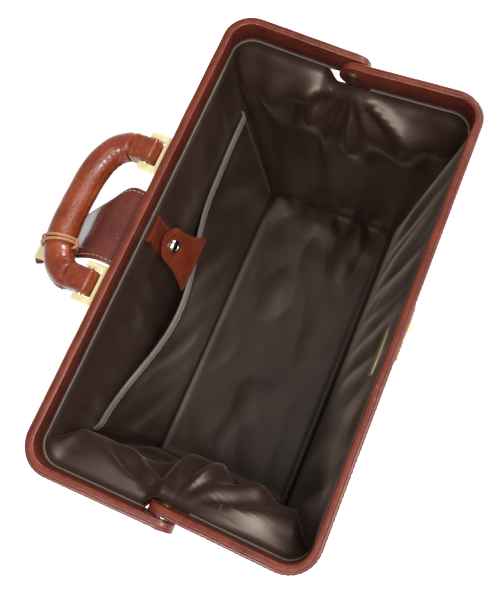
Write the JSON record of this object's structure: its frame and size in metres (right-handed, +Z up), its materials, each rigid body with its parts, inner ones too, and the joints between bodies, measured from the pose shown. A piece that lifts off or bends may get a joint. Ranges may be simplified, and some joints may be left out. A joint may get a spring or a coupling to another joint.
{
  "type": "doctor bag",
  "caption": "Leather doctor bag standing open, with a hinged steel frame, padded handle, closing flap, lock and lined pockets.",
  "frame": {"origin": "middle of the underside of the centre foot, on the ground", "axes": "+X along the bag's length, +Y towards the half that carries the handle, +Z up"},
  "size_m": [0.4044, 0.3267, 0.2873],
  "materials": {
    "leather": "glossy, waxed, fine grain",
    "dark_leather": "glossy, waxed",
    "lining": "satin, fine weave",
    "binding": "matt, woven",
    "brass": "bright, lacquered",
    "aged_brass": "satin, darkened",
    "steel": "satin",
    "chrome": "polished chrome",
    "board": "matt",
    "rope": "matt, twisted",
    "lace": "satin"
  },
  "bodies": {
    "base": {"base_leather": "leather", "base_board": "board", "floor_lining": "lining", "foot_1": "brass", "foot_2": "brass", "foot_3": "brass", "foot_4": "brass", "foot_5": "brass", "gusset_lining_left": "lining", "gusset_leather_left": "leather", "gusset_lining_right": "lining", "gusset_leather_right": "leather"},
    "rear_wall": {"rear_panel": "leather", "rear_lining": "lining", "slip_pocket": "lining", "pocket_binding": "binding", "pocket_strap": "leather", "snap_stud": "chrome"},
    "pocket_tab": {"snap_tab": "leather", "snap_cap": "chrome"},
    "front_wall": {"front_panel": "leather", "front_lining": "lining", "front_pocket": "leather", "lock_patch": "leather", "lock_case": "brass", "inner_plate": "brass"},
    "lock_button": {"lock_button": "brass"},
    "rear_frame": {"rear_frame_leather": "leather", "rear_frame_steel": "steel", "rear_rivet_left": "aged_brass", "rear_rivet_right": "aged_brass", "hinge_washer_left": "steel", "hinge_washer_right": "steel", "handle_bracket_left": "brass", "handle_bracket_right": "brass", "handle_pin_left": "brass", "handle_pin_right": "brass", "bracket_rivet_1": "brass", "bracket_rivet_2": "brass", "bracket_rivet_3": "brass", "bracket_rivet_4": "brass"},
    "front_frame": {"front_frame_leather": "leather", "front_frame_steel": "steel", "front_rivet_left": "aged_brass", "front_rivet_right": "aged_brass"},
    "handle": {"handle_grip": "leather", "handle_rope": "rope", "handle_cap_left": "leather", "handle_cap_right": "leather", "handle_lace": "lace"},
    "flap": {"flap": "dark_leather", "hasp_plate": "brass"}
  },
  "joints": [
    {"name": "rear_wall_lean", "type": "hinge", "parent": "base", "child": "rear_wall", "pos_m": [0, 0.08, 0.011], "axis": [1, 0, 0], "range_deg": [0, 19.18]},
    {"name": "front_wall_lean", "type": "hinge", "parent": "base", "child": "front_wall", "pos_m": [0, -0.08, 0.011], "axis": [-1, 0, 0], "range_deg": [0, 19.18]},
    {"name": "rear_frame_fold", "type": "hinge", "parent": "rear_wall", "child": "rear_frame", "pos_m": [0, 0.10904, 0.2641], "axis": [1, 0, 0], "range_deg": [0, 60.01]},
    {"name": "front_frame_fold", "type": "hinge", "parent": "front_wall", "child": "front_frame", "pos_m": [0, -0.10904, 0.2641], "axis": [-1, 0, 0], "range_deg": [0, 60.01]},
    {"name": "handle_swing", "type": "hinge", "parent": "rear_frame", "child": "handle", "pos_m": [0, 0.12719, 0.27689], "axis": [1, 0, 0], "range_deg": [0, 95]},
    {"name": "flap_fold", "type": "hinge", "parent": "rear_frame", "child": "flap", "pos_m": [0, 0.11411, 0.27899], "axis": [1, 0, 0], "range_deg": [-40, 0]},
    {"name": "pocket_tab_open", "type": "hinge", "parent": "rear_wall", "child": "pocket_tab", "pos_m": [0.005, 0.07842, 0.18844], "axis": [1, 0, 0], "range_deg": [0, 95]},
    {"name": "lock_press", "type": "slide", "parent": "front_wall", "child": "lock_button", "axis": [0, 0.9935, 0.114], "range_m": [0, 0.002], "stiffness_N_per_m": 400, "springref_m": -0.001}
  ],
  "couplings": [
    {"joint": "front_wall_lean", "follows": "rear_wall_lean", "ratio": 1},
    {"joint": "rear_frame_fold", "follows": "rear_wall_lean", "ratio": 3.1286},
    {"joint": "front_frame_fold", "follows": "rear_wall_lean", "ratio": 3.1286}
  ]
}
